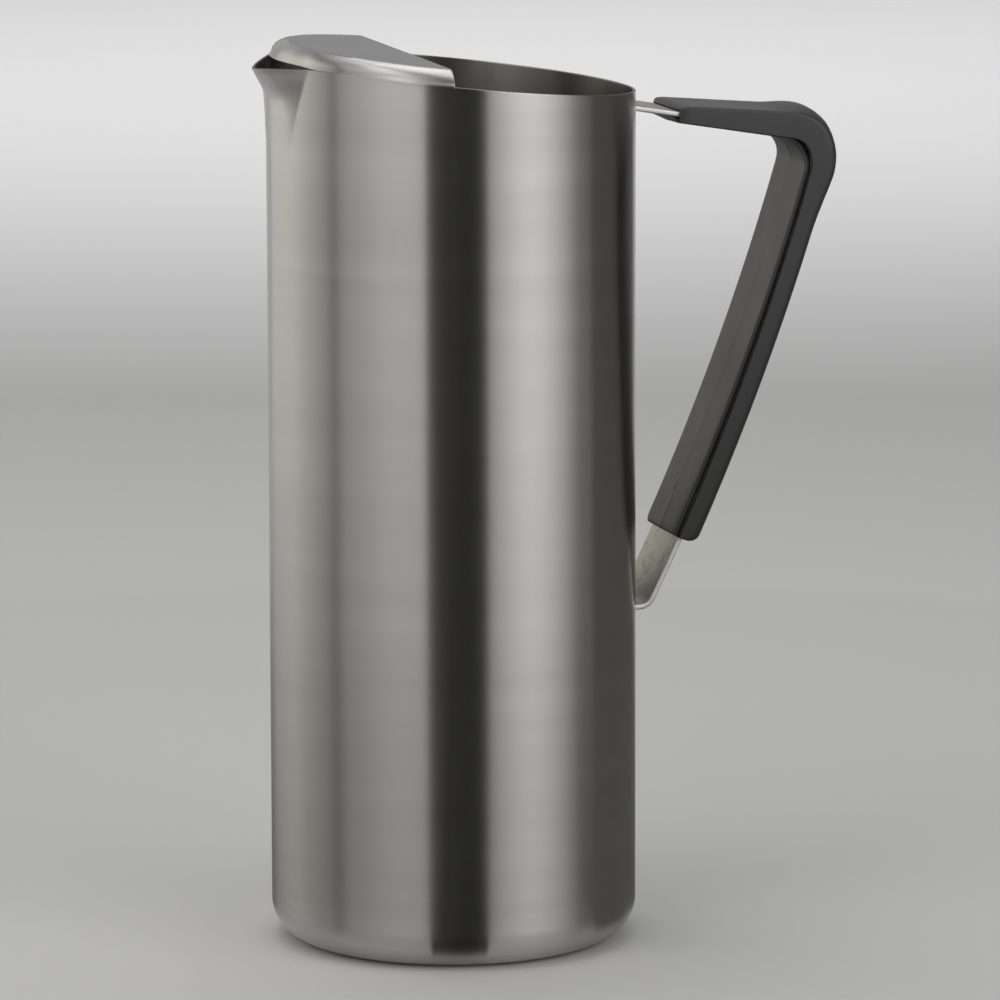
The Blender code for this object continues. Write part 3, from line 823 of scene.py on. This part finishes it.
# Painted shade: the plastic darkens towards the bottom by height, times its own faint flow cloud.
flow_and_painted_shade = nodes.new("ShaderNodeMath")
flow_and_painted_shade.operation = "MULTIPLY"
links.new(spread_range(nodes, links, flow_cloud, 0.8, 1.0), flow_and_painted_shade.inputs[0])
links.new(smooth_step(nodes, links, axes.outputs["Z"], *GRIP_SHADE_HEIGHTS), flow_and_painted_shade.inputs[1])
add_tone(nodes, links, shader, flow_and_painted_shade.outputs["Value"], GRIP_SHADED_DARK, GRIP_LIGHT)
add_finish(nodes, links, shader, flow_cloud, smooth=0.38, rough=0.46)
add_bump(nodes, links, shader, moulded_grain, strength=0.15, distance=0.0001)
for half, node in ((grip_back, "grip_outer"), (grip_palm, "grip_inner")):
    half.data.materials.append(grip_plastic)
    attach(half, "root")
    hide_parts(node)

# Studio: a pale paper floor that curves up to a backdrop all round. Soft boxes stand on the spout side, on
# the handle side, above and behind. Black cards that only reflections show give the dark stripe between
# the boxes, and grey ones dim the floor that the steel mirrors.
FLOOR_RADIUS = 4.0
FLOOR_SIDES = 96
FLOOR_BEND = 1.2
FLOOR_BEND_STEPS = 12
FLOOR_CLEARANCE = 0.0003
WALL_HEIGHT = 3.0
WORLD_STRENGTH = 0.26
PAPER_GREY = (0.58, 0.58, 0.58)
CARD_BLACK = (0.01, 0.01, 0.01)
CARD_GREY = (0.15, 0.15, 0.14)
CARD_PALE = (0.27, 0.27, 0.26)
CARD_FOOT = 0.0005
CARD_LEVEL = 0.0006
APRON_LEVEL = 0.0004
APRON_RADIUS = 0.066
APRON_SIDES = 64
APRON_GROWTH = 8.2
CAMERA_AZIMUTH = math.radians(-16)
CAMERA_DISTANCE = 1.941
CAMERA_HEIGHT = 0.460
CAMERA_LENS = 249.88
CAMERA_SENSOR = 36
CAMERA_TURN = math.radians(-16.4)
CAMERA_TILT = math.radians(90 - 9.79)
CAMERA_ROLL = math.radians(-0.15)

bpy.ops.object.select_all(action="DESELECT")
bpy.ops.mesh.primitive_circle_add(
    vertices=FLOOR_SIDES, radius=FLOOR_RADIUS, fill_type="NGON", location=(0, 0, -FLOOR_CLEARANCE),
)
floor = bpy.context.object
floor.name = "floor"
bpy.ops.object.mode_set(mode="EDIT")
bpy.ops.mesh.select_all(action="SELECT")
bpy.ops.mesh.region_to_loop()
ring = (FLOOR_RADIUS, 0.0)
for step in range(1, FLOOR_BEND_STEPS + 1):
    turn = math.radians(90 * step / FLOOR_BEND_STEPS)
    radius = FLOOR_RADIUS + FLOOR_BEND * math.sin(turn)
    height = FLOOR_BEND * (1 - math.cos(turn))
    bpy.ops.mesh.extrude_edges_move(TRANSFORM_OT_translate={"value": (0, 0, height - ring[1])})
    scale = radius / ring[0]
    bpy.ops.transform.resize(value=(scale, scale, 1), center_override=(0, 0, 0))
    ring = (radius, height)
bpy.ops.mesh.extrude_edges_move(TRANSFORM_OT_translate={"value": (0, 0, WALL_HEIGHT - FLOOR_BEND)})
bpy.ops.object.mode_set(mode="OBJECT")
bpy.ops.object.shade_smooth_by_angle(angle=math.radians(30))
paper, nodes, links, shader = new_material("pale_paper")
shader.inputs["Base Color"].default_value = (*PAPER_GREY, 1)
shader.inputs["Roughness"].default_value = 0.9
floor.data.materials.append(paper)

world = bpy.data.worlds.new("studio")
bpy.context.scene.world = world
world.use_nodes = True
world.node_tree.nodes["Background"].inputs["Color"].default_value = (1, 1, 1, 1)
world.node_tree.nodes["Background"].inputs["Strength"].default_value = WORLD_STRENGTH


def round_object(azimuth, distance, height):
    """A place at an azimuth in degrees from the camera's side, positive to the right of the picture."""
    turn = CAMERA_AZIMUTH + math.radians(azimuth)
    return Vector((math.sin(turn) * distance, -math.cos(turn) * distance, height))


def soft_box(name, place, target, width, height, power, spread, colour=(1, 1, 1)):
    """A rectangular soft box with a honeycomb, turned to a target."""
    lamp = bpy.data.lights.new(name, "AREA")
    lamp.shape = "RECTANGLE"
    lamp.size = width
    lamp.size_y = height
    lamp.energy = power
    lamp.color = colour
    lamp.spread = math.radians(spread)
    box = bpy.data.objects.new(name, lamp)
    bpy.context.scene.collection.objects.link(box)
    box.location = place
    box.rotation_euler = (target - place).to_track_quat("-Z", "Y").to_euler()
    box.visible_camera = False


def card_material(name, colour):
    """Matt card without a highlight."""
    material, nodes, links, shader = new_material(name)
    shader.inputs["Base Color"].default_value = (*colour, 1)
    shader.inputs["Roughness"].default_value = 1.0
    shader.inputs["Specular IOR Level"].default_value = 0.0
    return material


def stage_card(card, material):
    """Give a card its material and show it in reflections only."""
    card.data.materials.append(material)
    for ray in ("camera", "diffuse", "shadow", "transmission"):
        setattr(card, "visible_" + ray, False)


def flat_card(name, corners, material):
    """A card given by its four corners in turn."""
    bpy.ops.object.select_all(action="DESELECT")
    bpy.ops.mesh.primitive_plane_add(size=1)
    card = bpy.context.object
    card.name = name
    for index, corner in zip((0, 1, 3, 2), corners):
        card.data.vertices[index].co = corner
    stage_card(card, material)


def upright_card(name, azimuth, distance, left, right, height, material):
    """A card that stands on the floor across an azimuth, from its left edge to its right edge."""
    turn = CAMERA_AZIMUTH + math.radians(azimuth)
    across = Vector((math.cos(turn), math.sin(turn), 0))
    foot = round_object(azimuth, distance, CARD_FOOT)
    left_foot, right_foot = foot + across * left, foot + across * right
    top = Vector((0, 0, height))
    flat_card(name, [left_foot, right_foot, right_foot + top, left_foot + top], material)


def lying_card(name, places, material):
    """A card on the floor, given by the azimuth and the distance of each corner."""
    flat_card(name, [round_object(*place, CARD_LEVEL) for place in places], material)


at_pitcher = Vector((0, 0, 0.15))
at_spout_side = round_object(-22, 0.16, 0.22)
soft_box("box_front_left", round_object(-34, 1.2, 0.70), at_pitcher, 2.2, 1.4, 3.6, 112, (1, 0.985, 0.955))
soft_box("box_back_left", round_object(-112, 1.2, 0.42), at_spout_side, 1.70, 1.04, 1.30, 94, (1, 0.96, 0.87))
soft_box("box_right", round_object(52, 1.2, 0.60), at_pitcher, 1.8, 1.4, 2.8, 74, (1, 0.99, 0.975))
soft_box("box_front_top", round_object(-40, 0.62, 1.30), at_pitcher, 0.7, 0.8, 2.0, 180)
soft_box("box_above", round_object(180, 0.10, 1.5), at_pitcher, 0.6, 1.0, 3.0, 180)
soft_box("box_ceiling", round_object(180, 1.5, 2.6), round_object(180, 1.5, 0), 3.0, 2.4, 16, 180)
soft_box("box_backdrop", round_object(180, 1.5, 1.8), round_object(180, 5, 0.8), 1.6, 0.8, 60, 180)
card_black = card_material("card_black", CARD_BLACK)
card_grey = card_material("card_grey", CARD_GREY)
card_pale = card_material("card_pale", CARD_PALE)
upright_card("card_front", 0, 0.30, -0.078, 0.114, 0.85, card_black)
lying_card("card_front_floor", [(-7.5, 0.052), (11.5, 0.052), (20.5, 0.32), (-14, 0.32)], card_black)
upright_card("card_right", 122, 0.35, -0.20, 0.20, 1.2, card_grey)
lying_card("card_right_floor", [(60, 0.058), (85, 0.058), (150, 0.40), (95, 0.40)], card_grey)
bpy.ops.object.select_all(action="DESELECT")
bpy.ops.mesh.primitive_circle_add(
    vertices=APRON_SIDES, radius=APRON_RADIUS, fill_type="NOTHING", location=(0, 0, APRON_LEVEL),
)
apron = bpy.context.object
apron.name = "card_floor"
bpy.ops.object.mode_set(mode="EDIT")
bpy.ops.mesh.select_all(action="SELECT")
bpy.ops.mesh.extrude_edges_move(TRANSFORM_OT_translate={"value": (0, 0, 0)})
bpy.ops.transform.resize(value=(APRON_GROWTH, APRON_GROWTH, 1), center_override=(0, 0, 0))
bpy.ops.object.mode_set(mode="OBJECT")
stage_card(apron, card_grey)
lying_card("card_left_floor", [(-62, 0.066), (-110, 0.54), (-150, 0.54), (-80, 0.066)], card_pale)

camera_data = bpy.data.cameras.new("camera")
camera_data.lens = CAMERA_LENS
camera_data.sensor_width = CAMERA_SENSOR
camera = bpy.data.objects.new("camera", camera_data)
bpy.context.scene.collection.objects.link(camera)
camera.location = round_object(0, CAMERA_DISTANCE, CAMERA_HEIGHT)
aim = Matrix.Rotation(CAMERA_TURN, 4, "Z") @ Matrix.Rotation(CAMERA_TILT, 4, "X")
camera.rotation_euler = (aim @ Matrix.Rotation(CAMERA_ROLL, 4, "Z")).to_euler()
bpy.context.scene.camera = camera
bpy.context.scene.view_settings.view_transform = "Standard"
